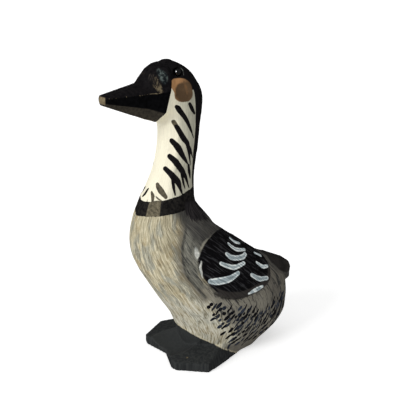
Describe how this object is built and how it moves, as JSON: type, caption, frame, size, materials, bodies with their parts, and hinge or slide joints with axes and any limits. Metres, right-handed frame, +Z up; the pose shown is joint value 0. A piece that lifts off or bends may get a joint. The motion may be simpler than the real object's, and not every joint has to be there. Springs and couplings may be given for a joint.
{
  "type": "goose figurine",
  "caption": "Standing goose figurine carved from one block of wood and painted, with raised wings, a faceted bill, two flat feet and round glossy eye beads.",
  "frame": {"origin": "middle of the figure's box on the surface that it stands on", "axes": "+Z up; the goose's feet and breast face -Y; its left side is +X; the tail points to +Y"},
  "size_m": [0.0374, 0.0698, 0.1016],
  "materials": {
    "painted_wood": "hand painted in matte black, cream, beige and grey over knife-cut wood",
    "eye_bead": "glossy black domed bead"
  },
  "bodies": {
    "root": {"carved_goose": "painted_wood", "left_eye": "eye_bead", "right_eye": "eye_bead"}
  },
  "joints": []
}
